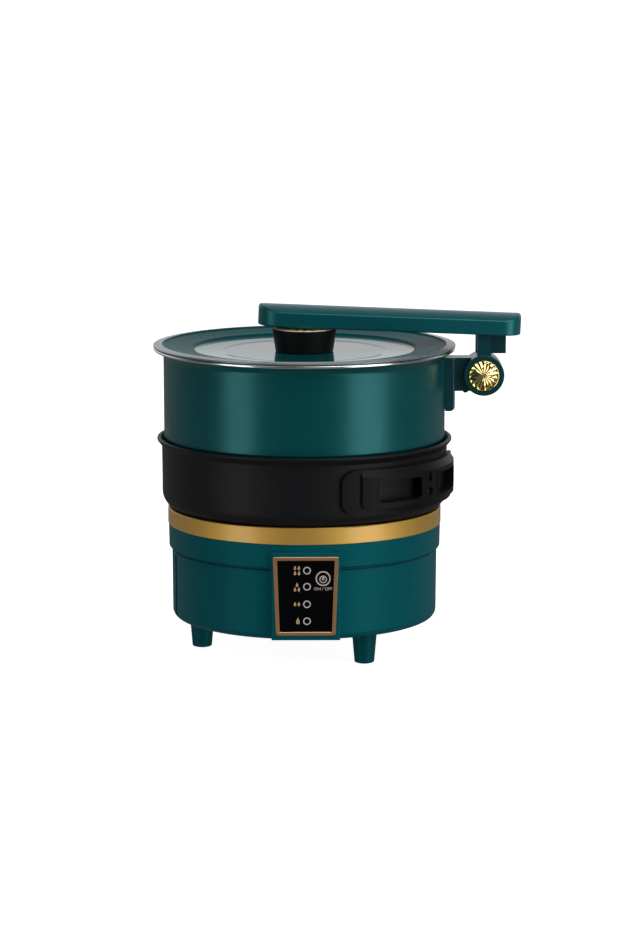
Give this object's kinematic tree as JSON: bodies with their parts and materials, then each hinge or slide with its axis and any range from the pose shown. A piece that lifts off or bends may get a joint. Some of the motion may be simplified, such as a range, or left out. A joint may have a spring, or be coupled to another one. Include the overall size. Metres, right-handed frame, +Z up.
{
  "type": "electric hot pot",
  "caption": "Electric heater base on three feet with a stacked shallow pan, a deep pot with a fold-over handle, and a lift-off lid with a round knob.",
  "frame": {"origin": "on the common axis of base, pan, pot and lid, at the table the feet stand on", "axes": "+Z up; -Y towards the control panel; +X towards the side of the folding handle's hinge"},
  "size_m": [0.2577, 0.212, 0.2438],
  "materials": {
    "base_teal": "glossy dark teal moulding",
    "foot_teal": "satin dark teal moulding",
    "pot_teal": "glossy dark teal enamel on aluminium",
    "handle_teal": "satin dark teal moulding",
    "gold": "satin pale gold band",
    "sunburst_gold": "polished fluted gold",
    "frame_copper": "satin rose gold",
    "rim_steel": "polished stainless steel",
    "lid_teal": "very glossy dark teal enamel on steel sheet",
    "pan_dark": "dark grey stone-effect coating",
    "ear_dark": "dark grey satin moulding",
    "knob_black": "black satin moulding",
    "deck_black": "black heat-resistant moulding",
    "hotplate_grey": "grey coated cast aluminium",
    "heater_steel": "heat-stained steel",
    "shield_steel": "plain pressed sheet",
    "sensor_steel": "brushed cap",
    "spring_steel": "plain wire",
    "screw_steel": "plain",
    "fuse_black": "black moulding",
    "lens_black": "glossy near-black window",
    "key_black": "glossy near-black key",
    "led_clear": "clear light guide",
    "board_green": "circuit board",
    "relay_blue": "moulded box",
    "coil_yellow": "taped coil",
    "capacitor_black": "sleeved can",
    "inlet_black": "black moulding",
    "pin_metal": "plain",
    "cover_black": "black moulding",
    "pad_rubber": "matt black"
  },
  "bodies": {
    "base": {"base_housing": "base_teal", "gold_band": "gold", "deck_ring": "deck_black", "hotplate": "hotplate_grey", "heating_element": "heater_steel", "plate_posts": "heater_steel", "heat_shield": "shield_steel", "sensor_holder": "shield_steel", "sensor_spring": "spring_steel", "thermal_fuse": "fuse_black", "panel_frame": "frame_copper", "panel_lens": "lens_black", "control_board": "board_green", "indicator_leds": "led_clear", "key_switch": "fuse_black", "power_board": "board_green", "relay": "relay_blue", "transformer": "coil_yellow", "capacitors": "capacitor_black", "power_inlet": "inlet_black", "inlet_pins": "pin_metal", "bottom_cover": "cover_black", "cover_screws": "screw_steel", "feet": "foot_teal", "foot_pads": "pad_rubber", "foot_screws": "screw_steel"},
    "sensor": {"sensor_cap": "sensor_steel"},
    "key": {"power_key": "key_black"},
    "pan": {"pan_body": "pan_dark", "pan_handle": "ear_dark", "pan_handle_screw": "screw_steel"},
    "pot": {"pot_body": "pot_teal", "pot_rim": "rim_steel", "hinge_bracket": "handle_teal", "bracket_rivets": "screw_steel", "hinge_stop": "pad_rubber"},
    "handle": {"handle_shell": "handle_teal", "handle_cover": "handle_teal", "handle_core": "screw_steel", "handle_screws": "screw_steel", "handle_fork": "handle_teal", "hinge_pin": "screw_steel", "hinge_washers": "screw_steel", "hinge_caps": "sunburst_gold"},
    "lid": {"lid_plate": "lid_teal", "lid_rim": "rim_steel", "knob": "knob_black", "knob_cap": "sunburst_gold", "knob_screw": "screw_steel"}
  },
  "joints": [
    {"name": "sensor_plunge", "type": "slide", "parent": "base", "child": "sensor", "axis": [0, 0, -1], "range_m": [0, 0.0015], "stiffness_N_per_m": 300, "springref_m": -0.003, "deforming": ["sensor_spring"]},
    {"name": "key_press", "type": "slide", "parent": "base", "child": "key", "axis": [0, 1, 0], "range_m": [0, 0.0006], "stiffness_N_per_m": 1500, "springref_m": -0.0006},
    {"name": "pan_lift", "type": "slide", "parent": "base", "child": "pan", "axis": [0, 0, 1], "range_m": [0, 0.06]},
    {"name": "pot_lift", "type": "slide", "parent": "pan", "child": "pot", "axis": [0, 0, 1], "range_m": [0, 0.075]},
    {"name": "handle_fold", "type": "hinge", "parent": "pot", "child": "handle", "pos_m": [0.1254, 0, 0.1942], "axis": [0, 1, 0], "range_deg": [0, 170]},
    {"name": "lid_lift", "type": "slide", "parent": "pot", "child": "lid", "axis": [0, 0, 1], "range_m": [0, 0.06]}
  ],
  "couplings": [
    {"joint": "lid_lift", "follows": "handle_fold", "m_per_rad": 0.0202}
  ]
}
